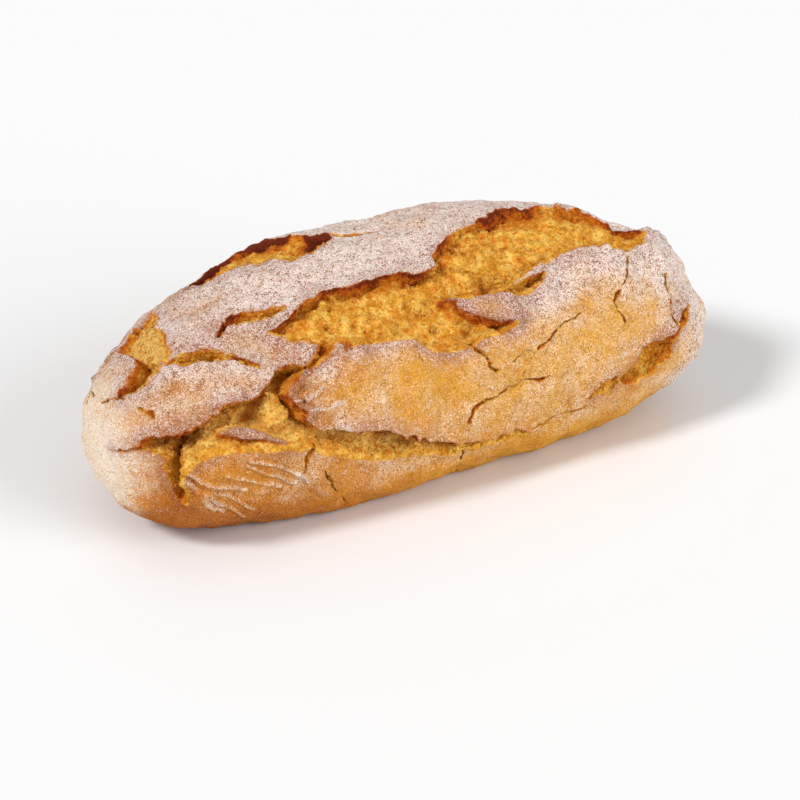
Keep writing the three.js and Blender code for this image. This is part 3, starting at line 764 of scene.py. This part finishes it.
def split(directions, faces, cut):
    """Splits the chosen edges at their middle. cut says for each pair of corners whether to split it. Both
    faces of an edge split alike, so the surface stays closed."""
    sides = np.stack([faces, np.roll(faces, -1, axis=1)], axis=2)
    pairs, which = np.unique(np.sort(sides.reshape(-1, 2), axis=1), axis=0, return_inverse=True)
    chosen = cut(pairs[:, 0], pairs[:, 1])
    middles = directions[pairs[chosen, 0]] + directions[pairs[chosen, 1]]
    middles /= np.linalg.norm(middles, axis=1)[:, None]
    number = np.full(len(pairs), -1)
    number[chosen] = len(directions) + np.arange(chosen.sum())
    cuts = number[which.reshape(-1)].reshape(-1, 3)
    count = (cuts >= 0).sum(axis=1)
    turn = np.where(count == 1, np.argmax(cuts >= 0, axis=1), (np.argmin(cuts, axis=1) + 1) % 3)
    turned = (np.arange(3)[None] + np.where((count == 1) | (count == 2), turn, 0)[:, None]) % 3
    a, b, c = np.take_along_axis(faces, turned, axis=1).T
    ab, bc, ca = np.take_along_axis(cuts, turned, axis=1).T

    def made(number_of_cuts, *triangles):
        rows = count == number_of_cuts
        return [np.stack(triangle, axis=1)[rows] for triangle in triangles]

    pieces = [
        *made(0, (a, b, c)),
        *made(1, (a, ab, c), (ab, b, c)),
        *made(2, (a, ab, c), (ab, bc, c), (ab, b, bc)),
        *made(3, (a, ab, ca), (ab, b, bc), (ca, bc, c), (ab, bc, ca)),
    ]
    return np.concatenate([directions, middles]), np.concatenate(pieces)


def ball_of(subdivisions):
    """Corners and faces of a ball of triangles."""
    ball = bmesh.new()
    bmesh.ops.create_icosphere(ball, subdivisions=subdivisions, radius=1)
    corners = np.array([v.co for v in ball.verts])
    faces = np.array([[v.index for v in f.verts] for f in ball.faces])
    ball.free()
    return corners, faces


def refined_ball():
    """Directions and faces, fine where the crust is torn."""
    directions, faces = ball_of(FIRST_SUBDIVISIONS)
    directions /= np.linalg.norm(directions, axis=1)[:, None]
    for _ in range(PASSES):
        skin = Skin(directions)
        points, wanted = skin.points(), skin.wanted_edge()

        def long(a, b):
            length = np.linalg.norm(points[a] - points[b], axis=1)
            return length > LONG * np.minimum(wanted[a], wanted[b])

        directions, faces = split(directions, faces, long)
    return directions, faces


def fine_relief(skin, crumb):
    """Lumps, clumps and pores of the crumb, the grain of the crust and the crumbling of its lips, in
    millimetres, and how deep in a pore each place is, from 0 to 1."""
    turned = skin.form @ TURN
    away, _ = cells(turned, CLUMP_SIZE)
    clumps = CLUMP_HEIGHT * (CLUMP_CREST - away**2 * CLUMP_STEEPNESS)
    away, value = cells(turned, PORE_SPACING)
    pores = smoothstep(value, *PORE_CHOICE) * (1 - smoothstep(away, *PORE_WALL))
    lumpy = LEAST_LUMPS + (1 - LEAST_LUMPS) * smoothstep(skin.sink, 0, LUMPY_DEPTH)
    inner = lumpy * octaves(turned, CRUMB_LUMPS) + clumps - PORE_DEPTH * pores
    clods = sum(height * (CLOD_CREST - cells(turned, size)[0] ** 2) for size, height in CLODS)
    lips = (octaves(turned, LIP_CRUMBLE) + clods) * skin.clodded
    rise = mixed(octaves(turned, CRUST_LUMPS), inner, crumb) + lips
    return rise * smoothstep(skin.form[:, 2], *BASE_FADE), pores * crumb


def lip_on(skin, reach):
    """How close a lip is on the crust, from 0 to 1."""
    return np.exp(np.minimum(skin.inside, 0) / reach)


def shaded_tuck(skin):
    """How much the skin turns in beside the split round the left end, from 0 to 1, where the crust gets less
    flour and more bake: partly its own browning, partly painted shade.
    """
    return np.maximum.reduce([share * around(skin, *place) for share, place in SHADED_TUCKS])


def flour_on(skin):
    """How much flour lies on the crust, from 0 to 1."""
    up = skin.outward[:, 2]
    top = smoothstep(up, *FLOUR_FACING)
    # more flour at the left end, partly painted light there
    left = smoothstep(-skin.along, *FLOUR_LEFT)
    right = smoothstep(skin.along, *FLOUR_RIGHT)
    low = 1 - smoothstep(skin.form[:, 2], *FLOUR_LOW)
    lip = lip_on(skin, FLOUR_LIP_REACH) * smoothstep(up, *FLOUR_LIP_FACING)
    crest = 1 - smoothstep(skin.fold + octaves(skin.form, CREST_WAVES), *CREST_EDGE)
    browner = smoothstep(-skin.along, *FLOUR_BROWNER) * (1 - left)
    heaped = FLOUR["everywhere"] + (FLOUR["top"] - FLOUR["browner"] * browner) * top
    heaped += FLOUR["left"] * left + FLOUR["right"] * right + FLOUR["lip"] * lip + FLOUR["crest"] * crest
    heaped += octaves(skin.form, FLOUR_PATCHES)
    # less flour where the skin tucks in, partly painted shade
    heaped -= FLOUR["low"] * low * (1 - right) + FLOUR["tuck"] * shaded_tuck(skin)
    heaped -= FLOUR["flap"] * around(skin, *FLAP) + FLOUR["folded"] * around(skin, *FOLDED_PLATE)
    return np.clip(heaped, 0, 1)


def bake_on(skin):
    """How brown the crust itself is, from 0 to 1: most near the base at the left, where the darkening is
    partly its own bake and partly painted shade.
    """
    low = 1 - smoothstep(skin.form[:, 2], *BAKE_LOW)
    left = smoothstep(-skin.along, *BAKE_LEFT)
    top = smoothstep(skin.outward[:, 2], *BAKE_FACING)
    # near the base at the left: partly the crust's own bake, partly painted shade
    baked = low * (BAKE["low"] + BAKE["low left"] * left) + BAKE["top"] * top + BAKE["left"] * left
    # more bake where the skin tucks in, partly painted shade
    baked += BAKE["tuck"] * shaded_tuck(skin) + BAKE["lip"] * lip_on(skin, BAKE_LIP_REACH)
    baked += BAKE["flap"] * around(skin, *FLAP) + octaves(skin.form, BAKE_PATCHES)
    return np.clip(baked, 0, 1)


def singed_on(skin):
    """How singed the crust is along its lips: most where they face up."""
    up = smoothstep(skin.outward[:, 2], *SINGE_FACING)
    facing = SINGE_LEAST + (1 - SINGE_LEAST) * up
    return varied(skin.form, *SINGE_RANGE) * facing * lip_on(skin, SINGE_REACH)


def smooth_on(skin):
    """How smooth and creamy the floured crust is, from 0 to 1: most at the left end, less at the right. At
    the left end its paler, less pitted film is partly painted light.
    """
    left = smoothstep(-skin.along, *SMOOTH_LEFT)
    right = smoothstep(skin.along, *SMOOTH_RIGHT)
    return np.maximum(left, SMOOTH_RIGHT_SHARE * right)


def loaf_piece():
    """The loaf's skin, with its points, its faces and the fields on it."""
    directions, faces = refined_ball()
    skin = Skin(directions)
    crumb = smoothstep(skin.torn, *CRUMB_EDGE)
    cracked = smoothstep(-skin.crack, *CRACK_COLOUR_EDGE)
    relief, pores = fine_relief(skin, crumb)
    points = skin.points(relief) * MM
    # painted shade, with some toast, on the deepest crumb, and painted shade in its pores, carried in the
    # toast field
    deep = DEEP_SHADE_AND_TOAST * smoothstep(skin.sink, *DEEP_SPAN) + PORE_SHADE * pores
    fields = {
        "crumb": np.maximum(crumb, cracked),
        "toast": np.maximum(skin.toast + deep, CRACK_TOAST * cracked),
        "flour": flour_on(skin),
        "bake": bake_on(skin),
        # painted light on the crumb of shaded openings
        "painted_light": skin.painted_light,
        "singed": singed_on(skin),
        "smooth": smooth_on(skin),
    }
    return linked("loaf_skin", points, faces, fields), points, faces, fields


def linked(name, points, faces, fields):
    """A smooth object of the faces, with the fields as its vertex attributes."""
    mesh = bpy.data.meshes.new(name)
    mesh.from_pydata(points, [], faces)
    mesh.polygons.foreach_set("use_smooth", np.ones(len(faces), bool))
    for field, values in fields.items():
        mesh.attributes.new(field, "FLOAT", "POINT").data.foreach_set("value", values.astype(np.float32))
    piece = bpy.data.objects.new(name, mesh)
    bpy.context.scene.collection.objects.link(piece)
    return piece


def grain_piece(points, faces, fields):
    """Loose grains of crumb that stand out of the torn surface."""
    draw = np.random.default_rng(GRAIN_SEED)
    corners = points[faces]
    across = np.cross(corners[:, 1] - corners[:, 0], corners[:, 2] - corners[:, 0])
    area = np.linalg.norm(across, axis=1)
    bare = fields["crumb"][faces].min(axis=1) > GRAIN_BARENESS
    chance = area * (bare & (corners[:, :, 2].min(axis=1) > GRAIN_LEVEL * MM))
    chosen = draw.choice(len(faces), GRAIN_COUNT, p=chance / chance.sum())
    share = draw.dirichlet((1, 1, 1), GRAIN_COUNT)
    radius = draw.uniform(*GRAIN_RADIUS, GRAIN_COUNT) * MM
    normal = across[chosen] / area[chosen][:, None]
    centre = np.einsum("ij,ijk->ik", share, corners[chosen]) + normal * (GRAIN_STAND * radius)[:, None]

    shape, grain_faces = ball_of(1)
    bumpy = shape[None] * draw.uniform(*GRAIN_BUMPS, (GRAIN_COUNT, len(shape), 1))
    uneven = bumpy * draw.uniform(*GRAIN_STRETCH, (GRAIN_COUNT, 1, 3))
    turned, _ = np.linalg.qr(draw.normal(size=(GRAIN_COUNT, 3, 3)))
    turned *= np.sign(np.linalg.det(turned))[:, None, None]
    grains = np.einsum("nij,nvj->nvi", turned, uneven) * radius[:, None, None] + centre[:, None]
    numbers = grain_faces[None] + (np.arange(GRAIN_COUNT) * len(shape))[:, None, None]
    grain_fields = {
        name: np.repeat(values[faces[chosen]].mean(axis=1), len(shape)) for name, values in fields.items()
    }
    return linked("crumb_grains", grains.reshape(-1, 3), numbers.reshape(-1, 3), grain_fields)


def colour(code):
    """A hex colour as linear RGBA."""
    parts = [int(code[i : i + 2], 16) / 255 for i in (0, 2, 4)]
    return (*(c / 12.92 if c <= 0.04045 else ((c + 0.055) / 1.055) ** 2.4 for c in parts), 1)


class Graph:
    """Short words for the nodes of one material."""

    def __init__(self, material):
        material.use_nodes = True
        self.tree = material.node_tree
        self.shader = self.tree.nodes["Principled BSDF"]
        self.coordinates = self.tree.nodes.new("ShaderNodeTexCoord").outputs["Object"]

    def set(self, socket, value):
        if isinstance(value, bpy.types.NodeSocket):
            self.tree.links.new(value, socket)
        else:
            socket.default_value = value

    def node(self, kind, values, **settings):
        """A new node with its settings, and then the values on its inputs, by name or number."""
        node = self.tree.nodes.new(kind)
        for name, setting in settings.items():
            setattr(node, name, setting)
        for name, value in values.items():
            self.set(node.inputs[name], value)
        return node

    def field(self, name):
        return self.node("ShaderNodeAttribute", {}, attribute_name=name).outputs["Fac"]

    def noise(self, size, detail=2.0, roughness=0.5):
        """Noise from 0 to 1 with grains of about the given size in millimetres."""
        values = {"Vector": self.coordinates, "Scale": 1 / (size * MM)}
        values |= {"Detail": detail, "Roughness": roughness}
        return self.node("ShaderNodeTexNoise", values).outputs["Fac"]

    def cells(self, size):
        """The distance to the nearest of many scattered centres, in units of the given spacing."""
        values = {"Vector": self.coordinates, "Scale": 1 / (size * MM)}
        return self.node("ShaderNodeTexVoronoi", values).outputs["Distance"]

    def sum(self, first, *terms):
        """The first value plus each later (value, weight) times its weight."""
        for value, weight in terms:
            values = {0: value, 1: weight, 2: first}
            first = self.node("ShaderNodeMath", values, operation="MULTIPLY_ADD").outputs[0]
        return first

    def ramp(self, value, low, high, start=0.0, end=1.0):
        """start below low, end above high, smooth between."""
        values = {"Value": value, "From Min": low, "From Max": high, "To Min": start, "To Max": end}
        return self.node("ShaderNodeMapRange", values, interpolation_type="SMOOTHSTEP").outputs["Result"]

    def blend(self, share, a, b):
        """Mixes two numbers."""
        return self.node("ShaderNodeMix", {0: share, 2: a, 3: b}).outputs[0]

    def mix(self, share, a, b):
        """Mixes two colours."""
        return self.node("ShaderNodeMix", {0: share, 6: a, 7: b}, data_type="RGBA").outputs[2]

    def steps(self, value, *stops):
        """Colours at the given values, blended between."""
        node = self.node("ShaderNodeValToRGB", {"Fac": value})
        ramp = node.color_ramp
        while len(ramp.elements) < len(stops):
            ramp.elements.new(0.5)
        for element, (place, code) in zip(ramp.elements, stops):
            element.position = place
            element.color = colour(code)
        return node.outputs["Color"]

    def bump(self, height, distance, strength):
        values = {"Height": height, "Distance": distance * MM, "Strength": strength}
        return self.node("ShaderNodeBump", values).outputs["Normal"]


# Colours of the crust and of what lies on it
CRUST_COLOURS = [(0.0, "e8a63c"), (0.4, "d6862c"), (1.0, "a04e14")]  # by how baked it is
THIN_FLOUR = "f2cf98"
THICK_FLOUR = "f4dccf"
SMOOTH_FLOUR = "f6dbb6"
WHITE_DUST = "fff3ec"
SINGED = "b07252"
# painted shade in the crust's tiny pits: on pale crust, on baked crust and under flour
PALE_PIT_SHADE = "b0742e"
BAKED_PIT_SHADE = "7c441a"
FLOURED_PIT_SHADE = "8c563e"
TOASTED_CRUST = "aa5a24"
BURNT_CRUST = "74301a"

# Colours of the crumb
CRUMB_COLOURS = [(0.34, "cc841a"), (0.5, "eaa838"), (0.66, "f6ca66")]
# painted shade in the crumb's pores
CRUMB_PORE_SHADE = "cc8422"
# painted light on the crumb of shaded openings
PAINTED_LIGHT_CRUMB = "fadc8e"
# painted highlights on the crumb's grains
CRUMB_HIGHLIGHT = "ffe6a4"
WARM_CRUMB = "d07a1c"
TOASTED_CRUMB = "ac4e14"
BURNT_CRUMB = "6e2810"

SHADER_VALUES = {
    "Roughness": 0.85, "Specular IOR Level": 0.12, "Subsurface Weight": 0.2,
    "Subsurface Radius": (1.0, 0.5, 0.2), "Subsurface Scale": 3 * MM,
}
BUMP_DISTANCE = 1.6  # in millimetres
BUMP_STRENGTH = 1.0


def bread_material():
    """Layers of colour, from the bottom up. Each sum is an offset and then fields and noises with their
    weights, and each ramp has the two values between which a layer comes in, and how strong it gets."""
    material = bpy.data.materials.new("bread")
    g = Graph(material)
    names = ("crumb", "toast", "flour", "bake", "painted_light", "singed", "smooth")
    crumb, toast, flour, bake, painted_light, singed, smooth = (g.field(name) for name in names)
    dust = g.noise(0.5, 1, 0.5)
    grit = g.noise(0.9, 2, 0.6)
    specks = g.noise(1.6, 2, 0.5)
    blotch = g.noise(2.8, 3, 0.6)
    clump = g.noise(4.5, 2, 0.5)
    patch = g.noise(9, 3)
    heat = g.sum(-1.35, (toast, 1.0), (blotch, 1.8), (grit, 0.9))

    crust = g.steps(g.sum(-0.45, (bake, 0.9), (patch, 0.5), (specks, 0.4)), *CRUST_COLOURS)
    cover = g.sum(-1.0, (flour, 1.0), (patch, 0.85), (blotch, 0.5), (dust, 0.65))
    film = g.mix(g.ramp(flour, 0.2, 0.75), colour(THIN_FLOUR), colour(THICK_FLOUR))
    film = g.mix(smooth, film, colour(SMOOTH_FLOUR))
    crust = g.mix(g.ramp(cover, 0.0, 0.9, 0.0, 0.92), crust, film)
    mauve = g.sum(-0.55, (singed, 1.0), (blotch, 0.7), (dust, 0.4))
    crust = g.mix(g.ramp(mauve, 0.1, 0.8, 0.0, 0.75), crust, colour(SINGED))
    white = g.sum(-1.03, (dust, 1.0), (specks, 0.6), (flour, 0.4))
    crust = g.mix(g.ramp(white, -0.1, 0.28, 0.0, 0.65), crust, colour(WHITE_DUST))
    # painted shade in the tiny pits of the crust, less where the flour is smooth
    pits = g.sum(0.0, (dust, 1.0), (blotch, 0.5), (specks, 0.3))
    pit_shade_strength = g.sum(g.ramp(flour, 0.3, 0.7, 0.6, 0.92), (smooth, -0.7))
    pit_shade = g.mix(g.ramp(bake, 0.0, 0.8), colour(PALE_PIT_SHADE), colour(BAKED_PIT_SHADE))
    pit_shade = g.mix(g.ramp(flour, 0.1, 0.5), pit_shade, colour(FLOURED_PIT_SHADE))
    crust = g.mix(g.ramp(pits, 0.93, 0.68, 0.0, pit_shade_strength), crust, pit_shade)
    crust = g.mix(g.ramp(heat, 0.3, 0.7), crust, colour(TOASTED_CRUST))
    crust = g.mix(g.ramp(heat, 0.75, 1.1), crust, colour(BURNT_CRUST))

    # the pores of the crumb, dented by the bump and given painted shade
    sponge = g.ramp(g.sum(-0.6, (g.cells(2.3), 1.0), (blotch, 1.2)), 0.02, 0.45)
    inner = g.steps(g.sum(-0.25, (grit, 0.7), (clump, 0.8)), *CRUMB_COLOURS)
    inner = g.mix(sponge, colour(CRUMB_PORE_SHADE), inner)
    # painted light brightens the crumb of shaded openings
    inner = g.mix(painted_light, inner, colour(PAINTED_LIGHT_CRUMB))
    # painted highlights on the crumb's grains
    inner = g.mix(g.ramp(dust, 0.55, 0.75, 0.0, 0.4), inner, colour(CRUMB_HIGHLIGHT))
    inner = g.mix(g.ramp(heat, 0.06, 0.4), inner, colour(WARM_CRUMB))
    inner = g.mix(g.ramp(heat, 0.42, 0.8), inner, colour(TOASTED_CRUMB))
    inner = g.mix(g.ramp(heat, 0.8, 1.2), inner, colour(BURNT_CRUMB))

    rough = g.sum(0.0, (dust, 0.5), (grit, 0.8), (specks, 0.8), (blotch, 0.6))
    spongy = g.sum(0.0, (grit, 0.8), (sponge, 0.16), (specks, 0.8))
    height = g.blend(crumb, rough, spongy)
    g.set(g.shader.inputs["Base Color"], g.mix(crumb, crust, inner))
    g.set(g.shader.inputs["Normal"], g.bump(height, BUMP_DISTANCE, BUMP_STRENGTH))
    for name, value in SHADER_VALUES.items():
        g.shader.inputs[name].default_value = value
    return material


# The stage
FLOOR_SIDE = 3  # metres from the middle to an edge
FLOOR_COLOUR = (0.82, 0.82, 0.82, 1)
FLOOR_ROUGHNESS = 0.7
WORLD_STRENGTH = 0.5
# name, the way to the light, strength and spread in degrees
LIGHTS = [("key", (-0.7, -0.05, 0.65), 2.2, 15), ("fill", (0.45, -0.8, 0.4), 1.8, 40)]


def floor():
    mesh = bpy.data.meshes.new("floor")
    corners = [(x * FLOOR_SIDE, y * FLOOR_SIDE, 0) for x, y in ((-1, -1), (1, -1), (1, 1), (-1, 1))]
    mesh.from_pydata(corners, [], [(0, 1, 2, 3)])
    piece = bpy.data.objects.new("floor", mesh)
    bpy.context.scene.collection.objects.link(piece)
    material = bpy.data.materials.new("pale_floor")
    material.use_nodes = True
    shader = material.node_tree.nodes["Principled BSDF"]
    shader.inputs["Base Color"].default_value = FLOOR_COLOUR
    shader.inputs["Roughness"].default_value = FLOOR_ROUGHNESS
    mesh.materials.append(material)


def light(name, toward, strength, spread):
    """A large soft light far away in the given direction."""
    lamp = bpy.data.lights.new(name, "SUN")
    lamp.energy = strength
    lamp.angle = math.radians(spread)
    piece = bpy.data.objects.new(name, lamp)
    piece.rotation_euler = Vector(toward).to_track_quat("Z", "Y").to_euler()
    bpy.context.scene.collection.objects.link(piece)


def studio():
    world = bpy.data.worlds.new("studio")
    world.use_nodes = True
    background = world.node_tree.nodes["Background"]
    background.inputs["Color"].default_value = (1, 1, 1, 1)
    background.inputs["Strength"].default_value = WORLD_STRENGTH
    bpy.context.scene.world = world
    bpy.context.scene.view_settings.view_transform = "Standard"
    for lamp in LIGHTS:
        light(*lamp)


# The photograph's camera: its distance and what it aims at are in metres
AZIMUTH = math.radians(-29.57)
ELEVATION = math.radians(29.5)
DISTANCE = 1.155
LENS = 135
AIM_RIGHT = 0.0074
AIM_UP = 0.0124


def camera():
    level = math.cos(ELEVATION)
    back = Vector((math.sin(AZIMUTH) * level, -math.cos(AZIMUTH) * level, math.sin(ELEVATION)))
    right = Vector((math.cos(AZIMUTH), math.sin(AZIMUTH), 0))
    aim = right * AIM_RIGHT + back.cross(right) * AIM_UP
    lens = bpy.data.cameras.new("camera")
    lens.lens = LENS
    piece = bpy.data.objects.new("camera", lens)
    piece.location = back * DISTANCE
    piece.rotation_euler = (piece.location - aim).to_track_quat("Z", "Y").to_euler()
    bpy.context.scene.collection.objects.link(piece)
    bpy.context.scene.camera = piece


loaf, *surface = loaf_piece()
grains = grain_piece(*surface)
bread = bread_material()
for piece in (loaf, grains):
    piece.data.materials.append(bread)
    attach(piece, "root")
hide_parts("loaf")
floor()
studio()
camera()
